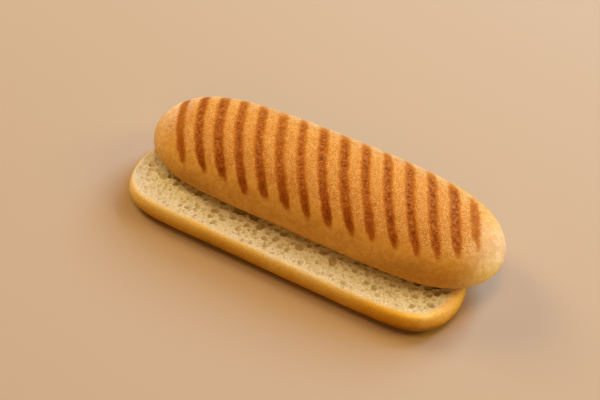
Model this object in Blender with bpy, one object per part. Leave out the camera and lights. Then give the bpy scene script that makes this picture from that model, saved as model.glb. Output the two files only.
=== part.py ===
"""A long grill-marked panini roll, split lengthwise into two halves.

The bottom half is a thin slab that lies with its cut face up. The top half is a dome with
slanting grill marks. It lies cut face down on the slab, set back and a little to the right,
so that a strip of open crumb shows along the front.

Metres, +Z up, +X along the roll, +Y away from the side where the crumb shows. The origin is
under the middle of the whole roll, at the level that it stands on.
"""

import math
import random
from collections import namedtuple

import bmesh
import bpy
import numpy as np
from mathutils import Vector, noise

# A plan outline is a superellipse: the powers say how square its ends and its sides are.
Outline = namedtuple("Outline", "length width end_power side_power")

# Bottom half: a slab with a rounded crust side
BOTTOM = Outline(length=0.247, width=0.0705, end_power=10.5, side_power=1.8)
BOTTOM_THICKNESS = 0.0155
BOTTOM_WIDEST_LEVEL = 0.0075
BOTTOM_BASE_INSET = 0.0073
BOTTOM_RIM_INSET = 0.0045

# Top half: a dome over its own cut face, with heights above that face
TOP = Outline(length=0.260, width=0.082, end_power=5.45, side_power=1.8)
TOP_HEIGHT = 0.043
TOP_WIDEST_LEVEL = 0.0125
TOP_CUT_INSET = 0.0065
TOP_END_DROP = 0.237
CROWN_FLATNESS = 1.22
CROWN_FULLNESS = 2.13

# How the top half lies on the bottom half
SHIFT_RIGHT = 0.007
SHIFT_BACK = 0.0285
HALVES_GAP = 0.0003

# Grill marks: a centre line is x = place + slant * y + bend * y^2 + curl * y^3
MARK_COUNT = 15
MARK_PITCH = 0.01575
MARK_SLANT = -0.4896
MARK_BEND = 2.286
MARK_CURL = -71.4
MARK_WIDTH = 0.0066
MARK_DEPTH = 0.00045
MARK_SIDE_STEEPNESS = 1.5
MARK_END_LEVEL = 0.023
MARK_END_RISE = 0.024
MARK_END_FADE = 0.0038

# Open pores in the crumb of the cut faces
PORE_RADIUS_MIN = 0.0011
PORE_RADIUS_MAX = 0.0027
PORE_DEPTH_SHARE = 0.62
PORE_WALL_POWER = 0.6
PORE_STRETCH = 1.2
PORE_WALL = 0.0005
PORE_TRIES = 60
CRUST_RIM = 0.0046
BOTTOM_PORES = 170
BOTTOM_PORE_SEED = 11
TOP_PORES = 110
TOP_PORE_SEED = 12

# Slow swells of the crust
SWELL_LENGTH = 0.055
SWELL_HEIGHT = 0.0003

# Fineness of the shaped surface, and the triangles left once it is thinned where it is smooth
CUTS = (340, 110, 14)
BOTTOM_TRIANGLES = 5600
TOP_TRIANGLES = 7600
HALVINGS = 40

# Finish: red, green, blue, alpha, and roughness
TOP_CRUST = ((0.72, 0.31, 0.08, 1.0), 0.5)
BOTTOM_CRUST = ((0.66, 0.33, 0.09, 1.0), 0.5)
CRUMB = ((0.74, 0.57, 0.31, 1.0), 0.85)
CRUST_SLOT = 0
CRUMB_SLOT = 1


def clear_scene():
    for item in list(bpy.data.objects):
        bpy.data.objects.remove(item, do_unlink=True)


def make_material(name, finish):
    colour, roughness = finish
    material = bpy.data.materials.new(name)
    material.use_nodes = True
    shader = material.node_tree.nodes["Principled BSDF"]
    shader.inputs["Base Color"].default_value = colour
    shader.inputs["Roughness"].default_value = roughness
    shader.inputs["Metallic"].default_value = 0.0
    return material


def make_quad_box(name):
    """A cube from -1 to 1 with fine square grids on its six faces, ready to be shaped."""
    grid = bmesh.new()
    bmesh.ops.create_cube(grid, size=2.0)
    for axis, cuts in enumerate(CUTS):
        along_axis = []
        for edge in grid.edges:
            span = edge.verts[0].co - edge.verts[1].co
            if abs(span[axis]) > 1.0:
                along_axis.append(edge)
        bmesh.ops.subdivide_edges(grid, edges=along_axis, cuts=cuts, use_grid_fill=True)
    mesh = bpy.data.meshes.new(name)
    grid.to_mesh(mesh)
    grid.free()
    return mesh


def read_points(mesh):
    points = np.empty(len(mesh.vertices) * 3)
    mesh.vertices.foreach_get("co", points)
    return points.reshape(-1, 3)


def read_normals(mesh):
    normals = np.empty(len(mesh.vertices) * 3)
    mesh.vertex_normals.foreach_get("vector", normals)
    return normals.reshape(-1, 3)


def write_points(mesh, points):
    mesh.vertices.foreach_set("co", points.ravel())
    mesh.update()


def soft_step(share):
    share = np.clip(share, 0.0, 1.0)
    return share * share * (3.0 - 2.0 * share)


def reach(x, y, outline, inset=0.0):
    """0 at the middle of the plan, and 1 on the outline drawn in by the inset."""
    along = np.abs(x) / (0.5 * outline.length - inset)
    aside = np.abs(y) / (0.5 * outline.width - inset)
    return along**outline.end_power + aside**outline.side_power


def outline_radius(angle, outline):
    """Distance from the middle of the plan to the outline in each direction, by halving."""
    low = np.zeros_like(angle)
    high = np.full_like(angle, outline.length)
    for _ in range(HALVINGS):
        radius = 0.5 * (low + high)
        beyond = reach(radius * np.cos(angle), radius * np.sin(angle), outline) > 1.0
        high = np.where(beyond, radius, high)
        low = np.where(beyond, low, radius)
    return high


def square_to_plan(box, outline, inset, crowd):
    """Box points moved along their rays until the square's edge meets the outline.

    Crowd, from 0 to 1, draws the inner points towards that edge.
    """
    out = np.maximum(np.abs(box[:, 0]), np.abs(box[:, 1]))
    angle = np.arctan2(box[:, 1] * outline.width, box[:, 0] * outline.length)
    spread = (1.0 - crowd) * out + crowd * np.sin(0.5 * math.pi * out)
    radius = outline_radius(angle, outline) * spread
    x = radius * np.cos(angle) * (1.0 - 2.0 * inset / outline.length)
    y = radius * np.sin(angle) * (1.0 - 2.0 * inset / outline.width)
    return x, y


def bottom_wall(rise):
    """Inset and height on the slab's side, for a rise from 0 at its base to 1 at its rim.

    It is a quarter of an ellipse up to the widest level, and another from there to the rim.
    """
    widest = BOTTOM_WIDEST_LEVEL / BOTTOM_THICKNESS
    below = 0.5 * math.pi * np.clip(1.0 - rise / widest, 0.0, 1.0)
    above = 0.5 * math.pi * np.clip((rise - widest) / (1.0 - widest), 0.0, 1.0)
    inset = BOTTOM_BASE_INSET * (1.0 - np.cos(below)) + BOTTOM_RIM_INSET * (1.0 - np.cos(above))
    low_part = BOTTOM_WIDEST_LEVEL * (1.0 - np.sin(below))
    return inset, low_part + (BOTTOM_THICKNESS - BOTTOM_WIDEST_LEVEL) * np.sin(above)


def top_wall(rise):
    """Inset and height on the dome's side, from 0 at its cut face to 1 at its widest level."""
    return TOP_CUT_INSET * (1.0 - rise) ** 2, TOP_WIDEST_LEVEL * rise


def crown_height(x, y):
    """Height of the dome above its widest level."""
    fall = 1.0 - np.clip(reach(x, y, TOP), 0.0, 1.0) ** CROWN_FLATNESS
    return (TOP_HEIGHT - TOP_WIDEST_LEVEL) * fall ** (1.0 / CROWN_FULLNESS)


def swell(points):
    """Slow ups and downs of the crust."""
    raw = [noise.noise(Vector(point) / SWELL_LENGTH) for point in points]
    return SWELL_HEIGHT * np.array(raw)


def mark_relief(points):
    """How deep the bars of the grill have pressed the dome in."""
    x, y, z = points.T
    across = x - MARK_SLANT * y - MARK_BEND * y**2 - MARK_CURL * y**3
    number = np.round(across / MARK_PITCH)
    from_line = np.abs(across - number * MARK_PITCH) / (0.5 * MARK_WIDTH)
    pressed = soft_step(MARK_SIDE_STEEPNESS * (1.0 - from_line))
    end_level = MARK_END_LEVEL + MARK_END_RISE * x
    reached = soft_step((z - end_level) / MARK_END_FADE)
    is_mark = np.abs(number) <= (MARK_COUNT - 1) / 2
    return MARK_DEPTH * pressed * reached * is_mark


def open_pores(seed, count, outline):
    """Seeded places, radii and turns of pores that keep clear of each other and of the crust."""
    draw = random.Random(seed)
    pores = []
    for _ in range(count * PORE_TRIES):
        radius = PORE_RADIUS_MIN + (PORE_RADIUS_MAX - PORE_RADIUS_MIN) * draw.random() ** 2
        x = draw.uniform(-0.5, 0.5) * outline.length
        y = draw.uniform(-0.5, 0.5) * outline.width
        turn = draw.uniform(0.0, math.pi)
        span = radius * PORE_STRETCH
        if reach(x, y, outline, CRUST_RIM + span) > 1.0:
            continue
        if all(math.hypot(x - p[0], y - p[1]) > span + p[2] * PORE_STRETCH + PORE_WALL for p in pores):
            pores.append((x, y, radius, turn))
        if len(pores) == count:
            break
    return pores


def pore_relief(x, y, pores):
    """How far the cut face sinks at each point."""
    depth = np.zeros_like(x)
    for pore_x, pore_y, radius, turn in pores:
        along = (x - pore_x) * math.cos(turn) + (y - pore_y) * math.sin(turn)
        aside = (y - pore_y) * math.cos(turn) - (x - pore_x) * math.sin(turn)
        near = 1.0 - (along / (radius * PORE_STRETCH)) ** 2 - (aside / radius) ** 2
        bowl = np.clip(near, 0.0, 1.0) ** PORE_WALL_POWER
        depth = np.maximum(depth, PORE_DEPTH_SHARE * radius * bowl)
    return depth


def press_surface(mesh, points, press):
    """Moves the shaped points out along their normals."""
    write_points(mesh, points)
    write_points(mesh, points + read_normals(mesh) * press[:, None])


def shape_bottom(mesh):
    """Shapes the box into the slab, cut face up, with pores in the crumb."""
    box = read_points(mesh)
    rise = 0.5 * (box[:, 2] + 1.0)
    inset, height = bottom_wall(rise)
    x, y = square_to_plan(box, BOTTOM, inset, crowd=0.0)
    pores = open_pores(BOTTOM_PORE_SEED, BOTTOM_PORES, BOTTOM)
    on_cut_face = rise == 1.0
    height = height - pore_relief(x, y, pores) * on_cut_face
    points = np.column_stack((x, y, height))
    press_surface(mesh, points, swell(points) * np.sin(math.pi * rise) ** 2)


def shape_top(mesh):
    """Shapes the box into the dome, cut face down, pressed in by the grill."""
    box = read_points(mesh)
    rise = 0.5 * (box[:, 2] + 1.0)
    inset, height = top_wall(rise)
    x, y = square_to_plan(box, TOP, inset, crowd=1.0)
    on_crown = rise == 1.0
    on_cut_face = rise == 0.0
    height = height + crown_height(x, y) * on_crown
    height = height * (1.0 - TOP_END_DROP * (2.0 * x / TOP.length) ** 2)
    pores = open_pores(TOP_PORE_SEED, TOP_PORES, TOP)
    height = height + pore_relief(x, y, pores) * on_cut_face
    points = np.column_stack((x, y, height))
    press_surface(mesh, points, swell(points) * rise - mark_relief(points))


def paint_crumb(mesh, outline, low, high):
    """Gives the crumb's finish to faces inside the crust rim and between two heights."""
    for face in mesh.polygons:
        x, y, z = face.center
        inside_rim = reach(x, y, outline, CRUST_RIM) < 1.0
        face.material_index = CRUMB_SLOT if inside_rim and low < z < high else CRUST_SLOT


def add_half(name, mesh, materials, triangles, parent, place):
    """The shaped mesh as an object, with few triangles where its surface is smooth."""
    for material in materials:
        mesh.materials.append(material)
    mesh.shade_smooth()
    half = bpy.data.objects.new(name, mesh)
    bpy.context.scene.collection.objects.link(half)
    thin = half.modifiers.new("thin", "DECIMATE")
    thin.ratio = triangles / (2.0 * len(mesh.polygons))
    thin.use_collapse_triangulate = True
    half.parent = parent
    half.location = place
    return half


def middle_of(*edges):
    return 0.5 * (min(edges) + max(edges))


def main():
    clear_scene()
    roll = bpy.data.objects.new("panini_roll", None)
    bpy.context.scene.collection.objects.link(roll)
    crumb = make_material("crumb", CRUMB)
    top_crust = make_material("top_crust", TOP_CRUST)
    bottom_crust = make_material("bottom_crust", BOTTOM_CRUST)

    half_length = 0.5 * BOTTOM.length
    half_width = 0.5 * BOTTOM.width
    top_left = SHIFT_RIGHT - 0.5 * TOP.length
    top_front = SHIFT_BACK - 0.5 * TOP.width
    middle_x = middle_of(-half_length, half_length, top_left, top_left + TOP.length)
    middle_y = middle_of(-half_width, half_width, top_front, top_front + TOP.width)

    slab = make_quad_box("bottom_half")
    shape_bottom(slab)
    paint_crumb(slab, BOTTOM, BOTTOM_WIDEST_LEVEL, BOTTOM_THICKNESS + HALVES_GAP)
    slab_place = (-middle_x, -middle_y, 0.0)
    add_half("bottom_half", slab, (bottom_crust, crumb), BOTTOM_TRIANGLES, roll, slab_place)

    dome = make_quad_box("top_half")
    shape_top(dome)
    paint_crumb(dome, TOP, -HALVES_GAP, 0.5 * TOP_WIDEST_LEVEL)
    dome_place = (SHIFT_RIGHT - middle_x, SHIFT_BACK - middle_y, BOTTOM_THICKNESS + HALVES_GAP)
    add_half("top_half", dome, (top_crust, crumb), TOP_TRIANGLES, roll, dome_place)


main()
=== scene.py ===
"""The looks of a grill-marked panini roll: its crust, grill marks, crumb and the light on it."""

import math
from collections import namedtuple

import bmesh
import bpy
import numpy as np
from mathutils import Matrix, Vector, noise


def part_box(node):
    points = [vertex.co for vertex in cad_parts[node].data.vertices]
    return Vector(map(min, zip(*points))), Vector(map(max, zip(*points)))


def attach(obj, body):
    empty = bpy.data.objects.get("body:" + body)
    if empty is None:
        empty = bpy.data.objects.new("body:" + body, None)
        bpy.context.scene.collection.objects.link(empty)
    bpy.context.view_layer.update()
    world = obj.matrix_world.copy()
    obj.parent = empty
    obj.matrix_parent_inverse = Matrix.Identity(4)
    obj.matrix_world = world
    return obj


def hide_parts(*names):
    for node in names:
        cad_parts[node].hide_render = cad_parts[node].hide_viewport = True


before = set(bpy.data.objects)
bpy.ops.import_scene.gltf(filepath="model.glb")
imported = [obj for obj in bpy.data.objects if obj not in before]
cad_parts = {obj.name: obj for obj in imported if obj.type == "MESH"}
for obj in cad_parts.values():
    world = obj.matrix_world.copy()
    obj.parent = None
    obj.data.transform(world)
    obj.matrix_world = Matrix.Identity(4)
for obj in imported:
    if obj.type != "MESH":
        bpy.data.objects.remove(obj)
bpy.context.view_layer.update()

# Camera, as fitted to the photograph; the target is in the roll's own frame
CAMERA_AZIMUTH = math.radians(29.88)
CAMERA_ELEVATION = math.radians(48.0)
CAMERA_DISTANCE = 0.6788
CAMERA_LENS = 60.69
CAMERA_SENSOR = 36.0
CAMERA_TARGET = Vector((-0.00959, 0.00016, 0.02))

# Soft disks of light: turn from the camera's azimuth and elevation in degrees, strength as a
# share of the full power, and colour
LIGHT_SIZE = 1.1
LIGHT_DISTANCE = 2.5
LIGHT_POWER = 100.0
STUDIO_LIGHTS = (
    ("key", 135.0, 35.0, 1.05, (0.4, 0.64, 1.0)),
    ("high_back", 135.0, 60.0, 0.12, (0.85, 0.84, 1.0)),
    ("left_fill", 225.0, 35.0, 0.34, (1.0, 0.8, 0.36)),
    ("right_fill", 90.0, 35.0, 0.22, (1.0, 0.78, 0.17)),
    ("front_fill", 0.0, 35.0, 0.11, (1.0, 0.52, 0.15)),
    ("overhead", 0.0, 90.0, 0.21, (1.0, 0.63, 0.3)),
)
ROOM_COLOUR = (1.0, 0.5, 0.15)
ROOM_STRENGTH = 0.045
FLOOR_SIZE = 8.0
FLOOR_ROUGHNESS = 0.9

# A plan outline is a superellipse: the powers say how square its ends and its sides are.
Outline = namedtuple("Outline", "middle_x middle_y length width end_power side_power")

# Bottom half, the slab: heights are above the floor
BOTTOM_POWERS = (10.5, 1.8)
BOTTOM_WIDEST_LEVEL = 0.0075
BOTTOM_BASE_INSET = 0.0073
BOTTOM_RIM_INSET = 0.0045
BOTTOM_SEAM_TURN = math.radians(52.0)

# Where the crust ends on a cut face: a place along it, and how far in from the side
RIM_WIDTHS = (
    (-0.1235, 0.0028),
    (-0.110, 0.0049),
    (-0.040, 0.0049),
    (0.0, 0.0040),
    (0.070, 0.0043),
    (0.105, 0.0064),
    (0.1235, 0.0080),
)
RIM_WAVE_LENGTH = 0.009
RIM_WAVE = 0.0010
RIM_SOFTNESS = 0.0030

# The slab's side browns from the rim down to the foot over this path, darkest at the foot, which
# is partly painted shade. At a place along the slab it is browner or paler by this shift.
BROWNING_PATH = 0.017
BROWNING_SHIFTS = (
    (-0.12, -0.25),
    (-0.09, -0.07),
    (-0.066, -0.05),
    (-0.042, 0.12),
    (-0.019, 0.06),
    (0.0, -0.015),
    (0.06, 0.0),
    (0.10, 0.12),
    (0.107, 0.2),
    (0.1137, 0.12),
    (0.118, -0.02),
    (0.121, -0.2),
)

# Tones of the slab: its ends, paler and at the right one also painted light where the dome
# shades it, of which the left one has less, the right part of its side, and painted shade on the
# crumb near the dome's left end, behind a line that runs aslant
SLAB_END_FROM = 0.095
SLAB_END_FADE = 0.018
LEFT_END_SHARE = 0.55
RIGHT_PART_FROM = 0.05
RIGHT_PART_FADE = 0.03
LEFT_INNER_FROM = -0.087
LEFT_INNER_FADE = 0.006
LEFT_INNER_SIDE = -0.015
LEFT_INNER_SLANT = 0.38
LEFT_INNER_SIDE_FADE = 0.004

# Across the slab, from its front to where the dome covers it: the bubbles grow by this share,
# and the crumb gets painted light, lighter and yellower in the dome's shade
TOWARDS_DOME = (-0.028, -0.008)
GROWTH = 0.3

# Top half, the dome: heights are above its own cut face
TOP_POWERS = (5.45, 1.8)
TOP_WIDEST_LEVEL = 0.0125
TOP_CUT_INSET = 0.0065
TOP_END_DROP = 0.237
CROWN_FLATNESS = 1.22
CROWN_FULLNESS = 2.13

# Grill marks: a centre line is x = place + slant * y + bend * y^2 + curl * y^3. A mark ends at
# a level that rises to the right, and fades towards the back.
MARK_COUNT = 15
MARK_PITCH = 0.01575
MARK_SLANT = -0.4896
MARK_BEND = 2.286
MARK_CURL = -71.4
MARK_SHIFT = 0.0003
MARK_WIDTH = 0.0066
MARK_SOFTNESS = 0.0050
MARK_DEPTH = 0.00045
MARK_END_LEVEL = 0.0212
MARK_END_RISE = 0.024
MARK_END_FADE = 0.0085
MARK_BACK = 0.018
MARK_BACK_FADE = 0.016
MARK_BACK_LOSS = 0.6

# How uneven the marks are: draws for each mark, and noise along and across them
MARK_SEED = 5
MARK_WIDTH_SPREAD = 0.06
MARK_END_SPREAD = 0.0009
MARK_END_TILT = 0.0012
MARK_END_ROUND = 0.0016
MARK_END_LEAN = 0.2
MARK_STRENGTH_SPREAD = 0.05
MARK_WANDER_LENGTH = 0.0045
MARK_WANDER = 0.0007
MARK_PATCH_LENGTH = 0.007
MARK_PATCH = 0.3

# Marks that stand out: the first, two paler ones by number and share, and the last
FIRST_MARK_STRENGTH = 0.67
PALER_MARKS = ((5, 0.84), (6, 0.9))
LAST_MARK_STRENGTH = 0.8
LAST_MARK_RISE = 0.0014
LAST_MARK_TILT = -0.0026
LAST_MARK_SHIFT = 0.0022
LAST_MARK_WIDTH = 0.0074

# Toasted top of the dome
TOAST_LEVEL = 0.0264
TOAST_FADE = 0.016
TOAST_WAVE_LENGTH = 0.014
TOAST_WAVE = 0.002

# Pale ends of the dome, and painted light on the foot of the right one, lighter towards the front
PALE_LEFT_FROM = -0.098
PALE_LEFT_SHARE = 0.5
PALE_RIGHT_FROM = 0.106
PALE_FADE = 0.024
PALE_WAVE_LENGTH = 0.02
PALE_WAVE = 0.005
FOOT_LEVEL = 0.027
FOOT_FADE = 0.013
FOOT_BACK = 0.008
FOOT_BACK_FADE = 0.020

# Darker lower side of the dome, partly browner crust and partly painted shade: a place along
# it, and the level below which it begins
LOW_LEVELS = ((-0.10, 0.016), (-0.075, 0.025), (-0.045, 0.014), (0.045, 0.015), (0.085, 0.033))
LOW_FADE = 0.014

# Back of the dome, and the lower part of it: painted light, tints that offset the bluish key
# light falling there
BACK_FROM = 0.012
BACK_FADE = 0.022
FAR_SIDE_LEVEL = 0.036
FAR_SIDE_FROM = 0.020
FAR_SIDE_FADE = 0.014

# Swells of the crust
SLOW_SWELL_LENGTH = 0.055
SLOW_SWELL_HEIGHT = 0.0003
QUICK_SWELL_LENGTH = 0.014
QUICK_SWELL_HEIGHT = 0.00016

# Open pores: bubbles that the knife cut through. Count per square metre, smallest and
# largest radius, how near to the crust they come, and how far under the cut the centre of
# the shallowest and of the deepest lies, as a share of the radius.
Bubbles = namedtuple("Bubbles", "per_area radius_min radius_max crust_gap shallowest deepest")
BUBBLE_SIZES = (
    Bubbles(16000.0, 0.0018, 0.0029, 0.0055, -0.7, -0.1),
    Bubbles(110000.0, 0.0011, 0.0018, 0.0025, -0.7, 0.0),
    Bubbles(250000.0, 0.0006, 0.0011, 0.0006, -0.6, 0.2),
)
CRUST_GAP_SPREAD = (0.3, 2.5)
BOTTOM_SEED = 11
TOP_SEED = 12

# How near to each other bubbles come, as a share of their radii, and their usual length
BUBBLE_SPACING = 0.85
BUBBLE_LENGTH = 1.3

# Depth of a bubble as a share of its radius, by how far above or under the cut it lies, and
# the share of that depth that it has at a place along the half
BUBBLE_DEPTHS = ((-0.7, 0.36), (0.2, 1.1))
BUBBLE_DEPTH_SHARES = ((-0.10, 0.6), (-0.05, 1.0))
# Depth at which a pore's painted shade is full
FULL_PORE_DEPTH = 0.0012

# Form of the bubbles: how much longer than wide, how far turned and how much deeper in front
BUBBLE_STRETCH = 0.6
BUBBLE_TURN = 0.6
BUBBLE_TILT = 0.6

# Noise that bends their plan: how far apart its bumps are, and how far it moves them
BUBBLE_WARPS = ((0.0030, 0.0009), (0.0012, 0.00035))

# Torn surface of the crumb
TORN_LENGTH = 0.0018
TORN_HEIGHT = 0.00018

# Two round pores at the right end of the slab: x, y and radius
ROUND_PORES = ((0.1049, -0.0086, 0.0019), (0.1087, -0.0048, 0.0022))
ROUND_PORE_CENTRE = 0.5

# Fineness of the meshes. The slab's rows are closest on the strip that the dome leaves open:
# each band is where it ends across the slab, from -1 at the front to 1, and its rows.
ROW_BANDS = ((-0.1, 80), (0.45, 25), (1.0, 8))
BOTTOM_CUTS = (690, 112, 9)
TOP_CUTS = (480, 150, 12)
UNDERSIDE_KEPT = 0.58
HALVINGS = 40

# On a box from 0 to 1 in height, points above this rise are on its top face
TOP_FACE = 0.999

# Colours, as the shares of red, green and blue light that they give back
SIDE_CRUST = (0.79, 0.445, 0.092)
# Lower side of the dome: partly browner crust, partly painted shade
LOW_CRUST_AND_SHADE = (0.63, 0.325, 0.053)
TOAST = (0.545, 0.222, 0.0295)
PALE_LEFT = (0.79, 0.56, 0.31)
PALE_RIGHT = (0.725, 0.44, 0.18)
# Painted light on the foot of the dome's right end, over its pale crust
PALE_FOOT_LIT = (0.96, 0.76, 0.34)
MARK_HALO = (0.44, 0.135, 0.009)
MARK_BROWN = (0.30, 0.075, 0.0057)
MARK_PINK = (0.44, 0.135, 0.017)
MARK_BLACK = (0.16, 0.034, 0.0036)
CRUMB = (0.81, 0.78, 0.70)
# Painted shade in the pores: darker and yellower where they are deep
PORE_SHADE = (0.50, 0.40, 0.22)
RIM_GOLD = (0.84, 0.60, 0.21)
SIDE_GOLD = (0.88, 0.58, 0.108)
SIDE_BROWN = (0.69, 0.36, 0.035)
# Foot of the slab's side: partly browner crust, partly painted shade next to the floor
SIDE_FOOT_AND_SHADE = (0.40, 0.22, 0.032)
FLOOR_PAPER = (0.456, 0.323, 0.209)

# Ramps of colour: each stop is a place from 0 to 1 and a colour
MARK_STOPS = ((0.36, MARK_BLACK), (0.5, MARK_BROWN), (0.64, MARK_PINK))
SLAB_SIDE_STOPS = ((0.04, RIM_GOLD), (0.33, SIDE_GOLD), (0.8, SIDE_BROWN), (1.0, SIDE_FOOT_AND_SHADE))

# Tints of places, as what they multiply a colour by
# Painted light: the back paler and bluer, against the bluish key light that falls on it
BACK_KEY_LIGHT_TINT = (0.83, 0.89, 1.4)
# Painted light: the lower back darker and warmer, against the bluish key light there
FAR_SIDE_KEY_LIGHT_TINT = (0.88, 0.76, 0.5)
# Paler ends of the slab, and at the right end also painted light where the dome shades it
SLAB_END_PALE_AND_LIT = (1.12, 1.15, 1.65)
RIGHT_PART_TINT = (0.96, 0.83, 0.42)
# Painted light on the crumb in the dome's shade: lighter and yellower
INNER_PAINTED_LIGHT = (1.11, 1.15, 1.04)
# Painted shade on the crumb near the dome's left end
LEFT_INNER_SHADE = (0.84, 0.78, 0.76)

# Tints by noise, where it is lowest and highest, and the values of the noise that count so
SIDE_DARK = (0.95, 0.9, 0.8)
SIDE_LIGHT = (1.05, 1.05, 1.05)
WALL_DARK = (0.96, 0.94, 0.9)
WALL_LIGHT = (1.03, 1.03, 1.03)
PATCH_RANGE = (0.3, 0.7)
FLECK_DARK = (0.80, 0.60, 0.30)
FLECK_LIGHT = (1.20, 1.42, 2.6)
MOTTLE_DARK = (0.955, 0.925, 0.86)
MOTTLE_LIGHT = (1.045, 1.075, 1.15)
SPECK_DARK = (0.84, 0.82, 0.77)
SPECK_LIGHT = (1.10, 1.11, 1.14)
TINT_RANGE = (0.36, 0.64)
SIDE_FLECKS = 0.3

# Noise of the materials: size of its bumps in metres, octaves and roughness
Grain = namedtuple("Grain", "size detail roughness")
TOP_FLECKS = Grain(0.0008, 3.0, 0.65)
TOP_SPOTS = Grain(0.0022, 4.0, 0.7)
TOP_MOTTLE = Grain(0.0035, 1.0, 0.5)
TOP_PATCHES = Grain(0.008, 2.0, 0.5)
BOTTOM_FLECKS = Grain(0.0008, 3.0, 0.5)
BOTTOM_PATCHES = Grain(0.006, 2.0, 0.5)
CRUMB_SPECKS = Grain(0.0011, 3.0, 0.6)

# How much the noise breaks up the soft edges of the masks
TOAST_RAGGED = 0.4
MARK_SPOT_RAGGED = 1.0
MARK_FLECK_RAGGED = 0.6
BROWNING_RAGGED = 0.35
CRUMB_RAGGED = 0.5

# Over which part of a mask something comes or goes: the halo of a mark and its burned middle,
# the flecks of the toasted crust, and what smooths them away at the pale ends
WHOLE_RANGE = (0.0, 1.0)
HALO_RANGE = (0.0, 0.6)
BURNED_RANGE = (0.3, 1.0)
TOASTED_RANGE = (0.0, 0.6)
SMOOTH_END_RANGE = (0.0, 0.6)

# Roughness of the dome by its flecks, roughness and relief of the slab from crust to crumb,
# and the height of each relief in metres
SPECULAR = 0.01
ROUGHNESS_FLECKS = (0.3, 0.7)
TOP_ROUGHNESS = (0.42, 0.6)
TOP_BUMP = 0.0001
BOTTOM_ROUGHNESS = (0.48, 0.85)
BOTTOM_RELIEF = (0.3, 1.0)
BOTTOM_BUMP = 0.00025


def make_quad_box(name, cuts, plain_base):
    """A cube from -1 to 1 with fine grids on its faces; a plain base is one flat face."""
    grid = bmesh.new()
    bmesh.ops.create_cube(grid, size=2.0)
    if plain_base:
        base = [face for face in grid.faces if face.calc_center_median().z < -0.5]
        bmesh.ops.delete(grid, geom=base, context="FACES_ONLY")
    for axis, cut_count in enumerate(cuts):
        along_axis = []
        for edge in grid.edges:
            span = edge.verts[0].co - edge.verts[1].co
            if abs(span[axis]) > 1.0:
                along_axis.append(edge)
        bmesh.ops.subdivide_edges(grid, edges=along_axis, cuts=cut_count, use_grid_fill=True)
    if plain_base:
        bmesh.ops.holes_fill(grid, edges=[edge for edge in grid.edges if edge.is_boundary])
    mesh = bpy.data.meshes.new(name)
    grid.to_mesh(mesh)
    grid.free()
    return mesh


def read_points(mesh):
    points = np.empty(len(mesh.vertices) * 3)
    mesh.vertices.foreach_get("co", points)
    return points.reshape(-1, 3)


def read_normals(mesh):
    normals = np.empty(len(mesh.vertices) * 3)
    mesh.vertex_normals.foreach_get("vector", normals)
    return normals.reshape(-1, 3)


def write_points(mesh, points):
    mesh.vertices.foreach_set("co", points.ravel())
    mesh.update()


def press_surface(mesh, points, press):
    """Moves the shaped points out along their normals."""
    write_points(mesh, points)
    write_points(mesh, points + read_normals(mesh) * press[:, None])


def write_masks(mesh, masks):
    """Stores each mask, one value for each point, under its name for the material."""
    for name, values in masks.items():
        mask = mesh.attributes.new(name, "FLOAT", "POINT")
        mask.data.foreach_set("value", values.astype(np.float32))


def soft_step(share):
    share = np.clip(share, 0.0, 1.0)
    return share * share * (3.0 - 2.0 * share)


def follow(values, table):
    """What the table's second column says at each value of its first, and between its rows."""
    places, results = zip(*table)
    return np.interp(values, places, results)


def rough(points, length, shift=0.0):
    """Smooth noise from about -1 to 1 whose bumps are about one length apart."""
    away = Vector((shift, shift, shift))
    return np.array([noise.noise(Vector(point) / length + away) for point in points])


def swell(points):
    """Slow and quick ups and downs of the crust."""
    slow = SLOW_SWELL_HEIGHT * rough(points, SLOW_SWELL_LENGTH)
    return slow + QUICK_SWELL_HEIGHT * rough(points, QUICK_SWELL_LENGTH)


def outline_of(node, powers):
    low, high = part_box(node)
    middle = 0.5 * (low + high)
    return Outline(middle.x, middle.y, high.x - low.x, high.y - low.y, *powers)


def reach(x, y, outline):
    """0 at the middle of the plan, and 1 on the outline."""
    along = np.abs(x) / (0.5 * outline.length)
    aside = np.abs(y) / (0.5 * outline.width)
    return along**outline.end_power + aside**outline.side_power


def outline_radius(angle, outline):
    """Distance from the middle of the plan to the outline in each direction, by halving."""
    low = np.zeros_like(angle)
    high = np.full_like(angle, outline.length)
    for _ in range(HALVINGS):
        radius = 0.5 * (low + high)
        beyond = reach(radius * np.cos(angle), radius * np.sin(angle), outline) > 1.0
        high = np.where(beyond, radius, high)
        low = np.where(beyond, low, radius)
    return high


def square_to_plan(box, outline, inset, crowd):
    """Box points moved along their rays until the square's edge meets the outline.

    Crowd, from 0 to 1, draws the inner points towards that edge.
    """
    out = np.maximum(np.abs(box[:, 0]), np.abs(box[:, 1]))
    angle = np.arctan2(box[:, 1] * outline.width, box[:, 0] * outline.length)
    spread = (1.0 - crowd) * out + crowd * np.sin(0.5 * math.pi * out)
    radius = outline_radius(angle, outline) * spread
    x = radius * np.cos(angle) * (1.0 - 2.0 * inset / outline.length)
    y = radius * np.sin(angle) * (1.0 - 2.0 * inset / outline.width)
    return x, y


def depth_inside(x, y, outline):
    """How far a point of the plan lies inside the outline, close to it; no more than half the
    width. It is what is left to the outline over the steepness of that."""
    power = outline.end_power / outline.side_power
    along = np.abs(x) / (0.5 * outline.length)
    aside = np.abs(y) / (0.5 * outline.width)
    share = np.maximum(reach(x, y, outline), 1e-9) ** (1.0 / outline.side_power)
    shrink = share ** (1.0 - outline.side_power)
    steep_x = power * along ** (outline.end_power - 1.0) * shrink / (0.5 * outline.length)
    steep_y = aside ** (outline.side_power - 1.0) * shrink / (0.5 * outline.width)
    distance = (1.0 - share) / np.maximum(np.hypot(steep_x, steep_y), 1.0)
    return np.minimum(distance, 0.5 * outline.width)


def crowd_rows(box):
    """The box's points across the slab, moved so that each band gets its rows."""
    ends = [-1.0] + [end for end, _ in ROW_BANDS]
    rows = np.cumsum([0] + [count for _, count in ROW_BANDS])
    return np.interp(box[:, 1], 2.0 * rows / rows[-1] - 1.0, ends)


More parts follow.
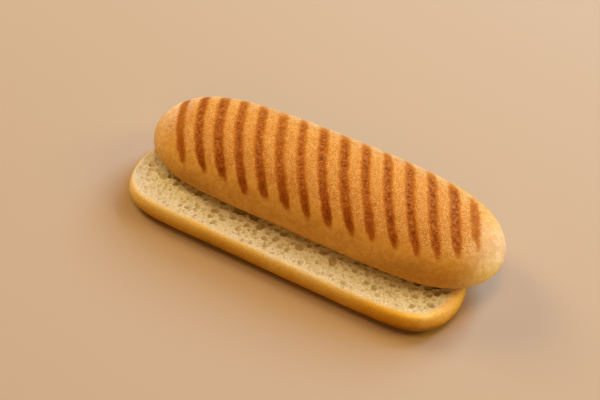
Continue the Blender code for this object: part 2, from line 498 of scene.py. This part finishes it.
def bottom_wall(rise, thickness):
    """Inset and height on the slab's side, for a rise from 0 at its base to 1 at its seam.

    It is a quarter of an ellipse up to the widest level, and part of another from there to the
    seam with the cut face, which takes that ellipse on over the rounded rim.
    """
    widest = BOTTOM_WIDEST_LEVEL / thickness
    below = 0.5 * math.pi * np.clip(1.0 - rise / widest, 0.0, 1.0)
    above = BOTTOM_SEAM_TURN * np.clip((rise - widest) / (1.0 - widest), 0.0, 1.0)
    inset = BOTTOM_BASE_INSET * (1.0 - np.cos(below)) + BOTTOM_RIM_INSET * (1.0 - np.cos(above))
    low_part = BOTTOM_WIDEST_LEVEL * (1.0 - np.sin(below))
    return inset, low_part + (thickness - BOTTOM_WIDEST_LEVEL) * np.sin(above)


def rim_height(inside, thickness):
    """Height of the slab's cut face, which rounds down towards the outline."""
    left = np.clip(1.0 - inside / BOTTOM_RIM_INSET, 0.0, 1.0)
    return BOTTOM_WIDEST_LEVEL + (thickness - BOTTOM_WIDEST_LEVEL) * np.sqrt(1.0 - left**2)


def top_wall(rise):
    """Inset and height on the dome's side, from 0 at its cut face to 1 at its widest level."""
    return TOP_CUT_INSET * (1.0 - rise) ** 2, TOP_WIDEST_LEVEL * rise


def crown_height(x, y, outline, height):
    """Height of the dome above its widest level."""
    fall = 1.0 - np.clip(reach(x, y, outline), 0.0, 1.0) ** CROWN_FLATNESS
    return (height - TOP_WIDEST_LEVEL) * fall ** (1.0 / CROWN_FULLNESS)


def grill_marks(points):
    """How far the bars pressed the dome in, and how strongly they burned it, from 0 to 1."""
    last = (MARK_COUNT - 1) // 2
    draw = np.random.RandomState(MARK_SEED)
    widths = MARK_WIDTH * (1.0 + MARK_WIDTH_SPREAD * draw.normal(0.0, 1.0, MARK_COUNT))
    ends = draw.normal(0.0, MARK_END_SPREAD, MARK_COUNT)
    tilts = draw.normal(0.0, MARK_END_TILT, MARK_COUNT)
    strengths = 1.0 - MARK_STRENGTH_SPREAD * draw.random_sample(MARK_COUNT)
    strengths[0] = FIRST_MARK_STRENGTH
    for number, share in PALER_MARKS:
        strengths[number] *= share
    strengths[-1] = LAST_MARK_STRENGTH
    ends[-1] = LAST_MARK_RISE
    tilts[-1] = LAST_MARK_TILT
    widths[-1] = LAST_MARK_WIDTH

    x, y, z = points.T
    wander = MARK_WANDER * rough(points, MARK_WANDER_LENGTH)
    across = x - MARK_SLANT * y - MARK_BEND * y**2 - MARK_CURL * y**3 - MARK_SHIFT + wander
    number = np.clip(np.round(across / MARK_PITCH), -last, last)
    mark = (number + last).astype(int)
    offset = across - number * MARK_PITCH + LAST_MARK_SHIFT * (number == last)
    side = np.clip(offset / (0.5 * widths[mark]), -1.0, 1.0)
    cover = soft_step(0.5 + (0.5 * widths[mark] - np.abs(offset)) / MARK_SOFTNESS)

    rounding = MARK_END_ROUND * (side - MARK_END_LEAN) ** 2
    level = MARK_END_LEVEL + MARK_END_RISE * x + ends[mark] + tilts[mark] * side + rounding
    reached = soft_step((z - level + wander) / MARK_END_FADE)
    patch = 1.0 - MARK_PATCH * soft_step(rough(points, MARK_PATCH_LENGTH, shift=7.0))
    patch = patch * (1.0 - MARK_BACK_LOSS * soft_step((y - MARK_BACK) / MARK_BACK_FADE))
    return cover * reached, cover * reached * patch * strengths[mark]


def end_drop(x, outline):
    """Share of the dome's height that is left towards its ends."""
    return 1.0 - TOP_END_DROP * (2.0 * x / outline.length) ** 2


def dome_tones(points, outline):
    """Masks of the dome's crust, from 0 to 1: how toasted and pale it is, where it lies, and
    where light and shade are painted.
    """
    x, y, z = points.T
    wave = TOAST_WAVE * rough(points, TOAST_WAVE_LENGTH, shift=3.0)
    shifted = x + PALE_WAVE * rough(points, PALE_WAVE_LENGTH, shift=5.0)
    return {
        "toast": soft_step((z / end_drop(x, outline) - TOAST_LEVEL + wave) / TOAST_FADE),
        "pale_left": PALE_LEFT_SHARE * soft_step((PALE_LEFT_FROM - shifted) / PALE_FADE),
        "pale_right": soft_step((shifted - PALE_RIGHT_FROM) / PALE_FADE),
        # darker lower side, partly painted shade
        "low_down": soft_step((follow(x, LOW_LEVELS) - z) / LOW_FADE),
        # painted light on the foot of the right end, towards the front
        "foot": soft_step((FOOT_LEVEL - z) / FOOT_FADE)
        * soft_step((FOOT_BACK - y) / FOOT_BACK_FADE),
        # painted light against the key light, on the back and its lower part
        "back": soft_step((y - BACK_FROM) / BACK_FADE),
        "far_side": soft_step((FAR_SIDE_LEVEL - z) / FAR_SIDE_FADE)
        * soft_step((y - FAR_SIDE_FROM) / FAR_SIDE_FADE),
    }


def slab_tones(x, y):
    """Masks of the slab's tones, from 0 to 1: its crumb, with painted light towards the dome and
    painted shade near the dome's left end, its ends, the right one partly painted light, and its
    right part.
    """
    at_end = soft_step((np.abs(x) - SLAB_END_FROM) / SLAB_END_FADE)
    left_inner_side = LEFT_INNER_SIDE + LEFT_INNER_SLANT * (LEFT_INNER_FROM - x)
    return {
        # painted light on the crumb towards the dome, where the dome shades it
        "inner": np.interp(y, TOWARDS_DOME, (0.0, 1.0)) * (1.0 - at_end),
        # painted shade on the crumb near the dome's left end
        "left_dome_shade": soft_step((LEFT_INNER_FROM - x) / LEFT_INNER_FADE)
        * soft_step((y - left_inner_side) / LEFT_INNER_SIDE_FADE),
        # paler ends; at the right one also painted light
        "slab_end": at_end * np.where(x > 0.0, 1.0, LEFT_END_SHARE),
        "right_part": soft_step((x - RIGHT_PART_FROM) / RIGHT_PART_FADE) * (1.0 - at_end),
    }


def keep_apart(bubbles):
    """The bubbles that come no nearer to those before them than walls of dough allow."""
    kept = []
    places = np.empty((len(bubbles), 3))
    for bubble in bubbles:
        x, y, radius = bubble[:3]
        before = places[:len(kept)]
        away = np.hypot((before[:, 0] - x) / BUBBLE_LENGTH, before[:, 1] - y)
        if np.all(away > BUBBLE_SPACING * (before[:, 2] + radius)):
            places[len(kept)] = bubble[:3]
            kept.append(bubble)
    return kept


def draw_bubbles(seed, outline, edge_inset, round_pores=()):
    """Bubbles of the dough: plan place, radius, depth of the centre, stretch and turn."""
    draw = np.random.RandomState(seed)
    bubbles = []
    for size in BUBBLE_SIZES:
        count = int(size.per_area * outline.length * outline.width)
        x = draw.uniform(-0.5, 0.5, count) * outline.length
        y = draw.uniform(-0.5, 0.5, count) * outline.width
        growth = draw.random_sample(count) ** 2
        radius = size.radius_min + (size.radius_max - size.radius_min) * growth
        radius = radius * np.interp(y, TOWARDS_DOME, (1.0, 1.0 + GROWTH))
        centre = draw.uniform(size.shallowest, size.deepest, count) * radius
        stretch = 1.0 + BUBBLE_STRETCH * draw.random_sample(count)
        turn = draw.normal(0.0, BUBBLE_TURN, count)
        gap = size.crust_gap * draw.uniform(*CRUST_GAP_SPREAD, count)
        kept = reach(x, y, outline) < 1.0
        kept &= depth_inside(x, y, outline) - edge_inset > follow(x, RIM_WIDTHS) + gap + radius
        for round_x, round_y, round_radius in round_pores:
            kept &= np.hypot(x - round_x, y - round_y) > round_radius + radius * stretch
        bubbles.append(np.column_stack((x, y, radius, centre, stretch, turn))[kept])
    bubbles = keep_apart(np.vstack(bubbles))
    for x, y, radius in round_pores:
        bubbles.append((x, y, radius, ROUND_PORE_CENTRE * radius, 1.0, 0.0))
    return bubbles


def bubble_depth(x, y, bubbles):
    """How far the cut bubbles open under each point of the cut face.

    A bubble is deeper towards the front. Noise bends the plan, so none is quite round.
    """
    flat = np.column_stack((x, y, np.zeros_like(x)))
    bent_x = x + sum(amount * rough(flat, length) for length, amount in BUBBLE_WARPS)
    bent_y = y + sum(amount * rough(flat, length, shift=9.0) for length, amount in BUBBLE_WARPS)
    depth = np.zeros_like(x)
    order = np.argsort(bent_x)
    sorted_x = bent_x[order]
    for bubble_x, bubble_y, radius, centre, stretch, turn in bubbles:
        span = radius * stretch
        first = np.searchsorted(sorted_x, bubble_x - span)
        last = np.searchsorted(sorted_x, bubble_x + span)
        near = order[first:last]
        near = near[np.abs(bent_y[near] - bubble_y) < span]
        off_x = bent_x[near] - bubble_x
        off_y = bent_y[near] - bubble_y
        along = (off_x * math.cos(turn) + off_y * math.sin(turn)) / stretch
        aside = off_y * math.cos(turn) - off_x * math.sin(turn)
        under = np.sqrt(np.clip(radius**2 - along**2 - aside**2, 0.0, None))
        bowl = np.clip(under + centre, 0.0, None) * (under > 0.0)
        floor = radius * follow(centre / radius, BUBBLE_DEPTHS)
        floor = floor * follow(bubble_x, BUBBLE_DEPTH_SHARES)
        tilt = 1.0 - BUBBLE_TILT * off_y / span
        depth[near] = np.maximum(depth[near], floor * np.tanh(bowl / floor) * tilt)
    return depth


def open_crumb(x, y, on_cut_face, outline, seed, edge_inset, round_pores=()):
    """Depth of the pores, cover of the crumb and distance past the crust, for a half's points.

    The edge inset is how far inside the outline the cut face ends.
    """
    depth = np.zeros_like(x)
    bubbles = draw_bubbles(seed, outline, edge_inset, round_pores)
    depth[on_cut_face] = bubble_depth(x[on_cut_face], y[on_cut_face], bubbles)
    flat = np.column_stack((x, y, np.zeros_like(x)))
    wave = RIM_WAVE * rough(flat, RIM_WAVE_LENGTH, shift=2.0)
    past_rim = depth_inside(x, y, outline) - edge_inset - follow(x, RIM_WIDTHS) + wave
    crumb = soft_step(0.5 + past_rim / RIM_SOFTNESS) * on_cut_face
    torn = TORN_HEIGHT * rough(flat, TORN_LENGTH) * crumb
    return depth - torn, crumb, past_rim


def shape_bottom():
    """The slab with its crust side and the open crumb of its cut face."""
    outline = outline_of("bottom_half", BOTTOM_POWERS)
    low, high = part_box("bottom_half")
    thickness = high.z - low.z
    mesh = make_quad_box("bottom_half_look", BOTTOM_CUTS, plain_base=True)
    box = read_points(mesh)
    box[:, 1] = crowd_rows(box)
    rise = 0.5 * (box[:, 2] + 1.0)
    inset, height = bottom_wall(rise, thickness)
    x, y = square_to_plan(box, outline, inset, crowd=0.0)
    on_cut_face = rise > TOP_FACE
    height = np.where(on_cut_face, rim_height(depth_inside(x, y, outline), thickness), height)
    depth, crumb, past_rim = open_crumb(x, y, on_cut_face, outline, BOTTOM_SEED, 0.0, ROUND_PORES)
    points = np.column_stack((x, y, height - depth))
    press_surface(mesh, points, swell(points) * np.sin(math.pi * rise) ** 2)
    browned = np.clip((thickness - height - past_rim) / BROWNING_PATH, 0.0, 1.0)
    masks = {
        "crumb": crumb,
        # painted shade in the pores, by their depth
        "pore_shade": np.clip(depth / FULL_PORE_DEPTH, 0.0, 1.0),
        "browned": browned + follow(x, BROWNING_SHIFTS),
    }
    write_masks(mesh, {**masks, **slab_tones(x, y)})
    mesh.transform(Matrix.Translation((outline.middle_x, outline.middle_y, low.z)))
    return mesh


def shape_top():
    """The dome, pressed in by the grill, over its own cut face."""
    outline = outline_of("top_half", TOP_POWERS)
    low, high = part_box("top_half")
    mesh = make_quad_box("top_half_look", TOP_CUTS, plain_base=False)
    box = read_points(mesh)
    rise = 0.5 * (box[:, 2] + 1.0)
    inset, height = top_wall(rise)
    x, y = square_to_plan(box, outline, inset, crowd=1.0)
    on_crown = rise > TOP_FACE
    on_cut_face = rise < 1.0 - TOP_FACE
    height = height + crown_height(x, y, outline, high.z - low.z) * on_crown
    height = height * end_drop(x, outline)
    depth, crumb, _ = open_crumb(x, y, on_cut_face, outline, TOP_SEED, TOP_CUT_INSET)
    points = np.column_stack((x, y, height + depth))
    pressed, burned = grill_marks(points)
    press_surface(mesh, points, swell(points) * rise - MARK_DEPTH * pressed)
    masks = {
        "crumb": crumb,
        # painted shade in the pores, by their depth
        "pore_shade": np.clip(depth / FULL_PORE_DEPTH, 0.0, 1.0),
        "mark": burned,
        "underside": on_cut_face,
    }
    write_masks(mesh, {**masks, **dome_tones(points, outline)})
    mesh.transform(Matrix.Translation((outline.middle_x, outline.middle_y, low.z)))
    return mesh


def add_piece(name, mesh, material, slot, node):
    mesh.materials.append(material)
    mesh.shade_smooth()
    piece = bpy.data.objects.new(name, mesh)
    bpy.context.scene.collection.objects.link(piece)
    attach(piece, "root")
    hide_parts(node)
    return piece


def thin_underside(piece):
    """Thins the cut face that lies on the other half, and leaves the rest as it is."""
    mask = piece.data.attributes["underside"].data
    group = piece.vertex_groups.new(name="underside")
    group.add([index for index, point in enumerate(mask) if point.value > 0.5], 1.0, "REPLACE")
    thin = piece.modifiers.new("thin", "DECIMATE")
    thin.ratio = UNDERSIDE_KEPT
    thin.vertex_group = group.name
    thinned = piece.evaluated_get(bpy.context.evaluated_depsgraph_get())
    mesh = bpy.data.meshes.new_from_object(thinned)
    piece.modifiers.clear()
    piece.vertex_groups.clear()
    piece.data = mesh


def add_node(tree, kind, sockets=None, **settings):
    """A new node with its settings made and its sockets linked or set."""
    node = tree.nodes.new(kind)
    for name, value in settings.items():
        setattr(node, name, value)
    for name, value in (sockets or {}).items():
        if isinstance(value, bpy.types.NodeSocket):
            tree.links.new(value, node.inputs[name])
        else:
            node.inputs[name].default_value = value
    return node


def read_mask(tree, name):
    """The mask's value, or 0 all over on a mesh that doesn't have it."""
    return add_node(tree, "ShaderNodeAttribute", attribute_name=name).outputs["Fac"]


def with_alpha(colour):
    """A plain colour as a socket takes it; a socket stays as it is."""
    return colour if isinstance(colour, bpy.types.NodeSocket) else (*colour, 1.0)


def mix_colours(tree, factor, first, second, blend_type="MIX"):
    """First where the factor is 0, second where it is 1."""
    sockets = {0: factor, 6: with_alpha(first), 7: with_alpha(second)}
    settings = {"data_type": "RGBA", "blend_type": blend_type}
    return add_node(tree, "ShaderNodeMix", sockets, **settings).outputs[2]


def multiply(tree, strength, first, second):
    """First where the strength is 0, and both colours multiplied where it is 1."""
    return mix_colours(tree, strength, first, second, "MULTIPLY")


def tint(tree, strength, colour, dark, light, noise_value):
    """The colour multiplied by tints that follow the noise, from dark to light."""
    share = rescale(tree, noise_value, TINT_RANGE)
    return multiply(tree, strength, colour, mix_colours(tree, share, dark, light))


def ramp(tree, factor, stops):
    """Colours that follow one another as the factor rises; a stop is a place and a colour."""
    node = add_node(tree, "ShaderNodeValToRGB", {"Fac": factor})
    elements = node.color_ramp.elements
    for place, _ in stops[1:-1]:
        elements.new(place)
    for element, (place, colour) in zip(elements, stops):
        element.position = place
        element.color = with_alpha(colour)
    return node.outputs["Color"]


def patchy(tree, patches, colour, dark, light):
    """The colour multiplied by dark or light in patches, or by what is between them."""
    stops = []
    for place, factors in zip(PATCH_RANGE, (dark, light)):
        stops.append((place, [share * factor for share, factor in zip(colour, factors)]))
    return ramp(tree, patches, stops)


def calculate(tree, operation, first, second):
    return add_node(tree, "ShaderNodeMath", {0: first, 1: second}, operation=operation).outputs[0]


def rescale(tree, value, span, result=(0.0, 1.0)):
    """The value carried smoothly from the ends of the span to those of the result."""
    sockets = {0: value, 1: span[0], 2: span[1], 3: result[0], 4: result[1]}
    node = add_node(tree, "ShaderNodeMapRange", sockets, interpolation_type="SMOOTHSTEP")
    return node.outputs[0]


def noise_of(tree, place, grain):
    """Noise from 0 to 1, of the grain's size and roughness."""
    sockets = {
        "Vector": place,
        "Scale": 1.0 / grain.size,
        "Detail": grain.detail,
        "Roughness": grain.roughness,
    }
    return add_node(tree, "ShaderNodeTexNoise", sockets).outputs[0]


def ragged(tree, mask, noise_value, amount):
    """The mask with its soft edge broken up by the noise, which leaves 0 and 1 as they are."""
    shift = calculate(tree, "MULTIPLY", calculate(tree, "SUBTRACT", noise_value, 0.5), amount)
    room = calculate(tree, "MULTIPLY", mask, calculate(tree, "SUBTRACT", 1.0, mask))
    moved = calculate(tree, "MULTIPLY", shift, calculate(tree, "MULTIPLY", room, 4.0))
    return calculate(tree, "ADD", mask, moved)


def new_material(name):
    material = bpy.data.materials.new(name)
    material.use_nodes = True
    tree = material.node_tree
    shader = tree.nodes["Principled BSDF"]
    shader.inputs["Specular IOR Level"].default_value = SPECULAR
    place = add_node(tree, "ShaderNodeTexCoord").outputs["Object"]
    return material, tree, shader, place


def join(tree, shader, colour, roughness, height, bump):
    tree.links.new(colour, shader.inputs["Base Color"])
    tree.links.new(roughness, shader.inputs["Roughness"])
    node = add_node(tree, "ShaderNodeBump", {"Height": height, "Distance": bump})
    tree.links.new(node.outputs["Normal"], shader.inputs["Normal"])


def crumb_colour(tree, place, patches):
    """Cream walls between the pores, painted shade in the pores that is darker and yellower the
    deeper they are, and painted light towards the dome.
    """
    walls = patchy(tree, patches, CRUMB, WALL_DARK, WALL_LIGHT)
    # painted shade in the pores
    colour = mix_colours(tree, read_mask(tree, "pore_shade"), walls, PORE_SHADE)
    # painted light on the crumb in the dome's shade
    colour = multiply(tree, read_mask(tree, "inner"), colour, INNER_PAINTED_LIGHT)
    specks = noise_of(tree, place, CRUMB_SPECKS)
    return tint(tree, 1.0, colour, SPECK_DARK, SPECK_LIGHT, specks)


def make_top_material():
    material, tree, shader, place = new_material("grilled_crust")
    flecks = noise_of(tree, place, TOP_FLECKS)
    spots = noise_of(tree, place, TOP_SPOTS)
    mottle = noise_of(tree, place, TOP_MOTTLE)
    patches = noise_of(tree, place, TOP_PATCHES)

    toast = ragged(tree, read_mask(tree, "toast"), spots, TOAST_RAGGED)
    colour = patchy(tree, patches, SIDE_CRUST, SIDE_DARK, SIDE_LIGHT)
    # darker lower side, partly painted shade
    colour = mix_colours(tree, read_mask(tree, "low_down"), colour, LOW_CRUST_AND_SHADE)
    colour = mix_colours(tree, toast, colour, TOAST)
    # painted light: tints against the key light on the back and its lower part
    colour = multiply(tree, read_mask(tree, "back"), colour, BACK_KEY_LIGHT_TINT)
    colour = multiply(tree, read_mask(tree, "far_side"), colour, FAR_SIDE_KEY_LIGHT_TINT)

    pale_left = read_mask(tree, "pale_left")
    pale_right = read_mask(tree, "pale_right")
    # painted light on the foot of the right end
    right_end = mix_colours(tree, read_mask(tree, "foot"), PALE_RIGHT, PALE_FOOT_LIT)
    colour = mix_colours(tree, pale_left, colour, PALE_LEFT)
    colour = mix_colours(tree, pale_right, colour, right_end)

    mark = ragged(tree, read_mask(tree, "mark"), spots, MARK_SPOT_RAGGED)
    mark = ragged(tree, mark, flecks, MARK_FLECK_RAGGED)
    halo = rescale(tree, mark, HALO_RANGE)
    burned = rescale(tree, mark, BURNED_RANGE)
    colour = mix_colours(tree, halo, colour, MARK_HALO)
    colour = mix_colours(tree, burned, colour, ramp(tree, spots, MARK_STOPS))

    pale = calculate(tree, "MAXIMUM", pale_left, pale_right)
    smooth_end = rescale(tree, pale, SMOOTH_END_RANGE, (1.0, 0.0))
    toasted = calculate(tree, "MULTIPLY", toast, smooth_end)
    toasted = rescale(tree, toasted, TOASTED_RANGE, (SIDE_FLECKS, 1.0))
    toasted = calculate(tree, "MAXIMUM", toasted, halo)
    colour = tint(tree, toasted, colour, FLECK_DARK, FLECK_LIGHT, flecks)
    colour = tint(tree, 1.0, colour, MOTTLE_DARK, MOTTLE_LIGHT, mottle)

    crumb = crumb_colour(tree, place, patches)
    colour = mix_colours(tree, read_mask(tree, "crumb"), colour, crumb)
    roughness = rescale(tree, flecks, ROUGHNESS_FLECKS, TOP_ROUGHNESS)
    height = calculate(tree, "MULTIPLY", flecks, toasted)
    join(tree, shader, colour, roughness, height, TOP_BUMP)
    return material


def make_bottom_material():
    material, tree, shader, place = new_material("crumb_and_crust")
    flecks = noise_of(tree, place, BOTTOM_FLECKS)
    patches = noise_of(tree, place, BOTTOM_PATCHES)

    browned = ragged(tree, read_mask(tree, "browned"), patches, BROWNING_RAGGED)
    # from rim to foot; the foot's colour is partly painted shade
    crust = ramp(tree, browned, SLAB_SIDE_STOPS)
    # paler ends, and painted light at the right end where the dome shades it
    crust = multiply(tree, read_mask(tree, "slab_end"), crust, SLAB_END_PALE_AND_LIT)
    crust = multiply(tree, read_mask(tree, "right_part"), crust, RIGHT_PART_TINT)
    crust = tint(tree, SIDE_FLECKS, crust, FLECK_DARK, FLECK_LIGHT, flecks)

    crumb = crumb_colour(tree, place, patches)
    # painted shade on the crumb near the dome's left end
    crumb = multiply(tree, read_mask(tree, "left_dome_shade"), crumb, LEFT_INNER_SHADE)
    cover = read_mask(tree, "crumb")
    colour = mix_colours(tree, ragged(tree, cover, flecks, CRUMB_RAGGED), crust, crumb)
    roughness = rescale(tree, cover, WHOLE_RANGE, BOTTOM_ROUGHNESS)
    relief = rescale(tree, cover, WHOLE_RANGE, BOTTOM_RELIEF)
    height = calculate(tree, "MULTIPLY", flecks, relief)
    join(tree, shader, colour, roughness, height, BOTTOM_BUMP)
    return material


def make_floor():
    bpy.ops.mesh.primitive_plane_add(size=FLOOR_SIZE, location=(0.0, 0.0, 0.0))
    floor = bpy.context.object
    floor.name = "floor"
    material, _, shader, _ = new_material("floor_paper")
    shader.inputs["Base Color"].default_value = with_alpha(FLOOR_PAPER)
    shader.inputs["Roughness"].default_value = FLOOR_ROUGHNESS
    floor.data.materials.append(material)


def direction(azimuth, elevation):
    """Unit vector towards a place seen at that azimuth, counted like the camera's."""
    flat = math.cos(elevation)
    return Vector((math.sin(azimuth) * flat, -math.cos(azimuth) * flat, math.sin(elevation)))


def add_area_light(name, azimuth, elevation, power, colour):
    data = bpy.data.lights.new(name, "AREA")
    data.shape = "DISK"
    data.size = LIGHT_SIZE
    data.energy = power
    data.color = colour
    light = bpy.data.objects.new(name, data)
    towards = direction(azimuth, elevation)
    light.location = towards * LIGHT_DISTANCE
    light.rotation_euler = towards.to_track_quat("Z", "Y").to_euler()
    bpy.context.scene.collection.objects.link(light)


def make_light():
    """Soft studio light: a large key behind on the right, weaker ones round it, a warm room."""
    for name, turn, elevation, strength, colour in STUDIO_LIGHTS:
        azimuth = CAMERA_AZIMUTH + math.radians(turn)
        add_area_light(name, azimuth, math.radians(elevation), LIGHT_POWER * strength, colour)
    world = bpy.data.worlds.new("soft_room")
    world.use_nodes = True
    background = world.node_tree.nodes["Background"]
    background.inputs["Color"].default_value = with_alpha(ROOM_COLOUR)
    background.inputs["Strength"].default_value = ROOM_STRENGTH
    bpy.context.scene.world = world


def make_camera():
    data = bpy.data.cameras.new("camera")
    data.lens = CAMERA_LENS
    data.sensor_width = CAMERA_SENSOR
    camera = bpy.data.objects.new("camera", data)
    back = direction(CAMERA_AZIMUTH, CAMERA_ELEVATION)
    camera.location = CAMERA_TARGET + back * CAMERA_DISTANCE
    camera.rotation_euler = back.to_track_quat("Z", "Y").to_euler()
    bpy.context.scene.collection.objects.link(camera)
    bpy.context.scene.camera = camera


make_camera()
make_light()
make_floor()
slab_looks = (shape_bottom(), make_bottom_material())
add_piece("bottom_half_look", *slab_looks, "crumb_and_crust", "bottom_half")
dome_looks = (shape_top(), make_top_material())
dome = add_piece("top_half_look", *dome_looks, "grilled_crust", "top_half")
thin_underside(dome)
bpy.context.scene.view_settings.view_transform = "Standard"
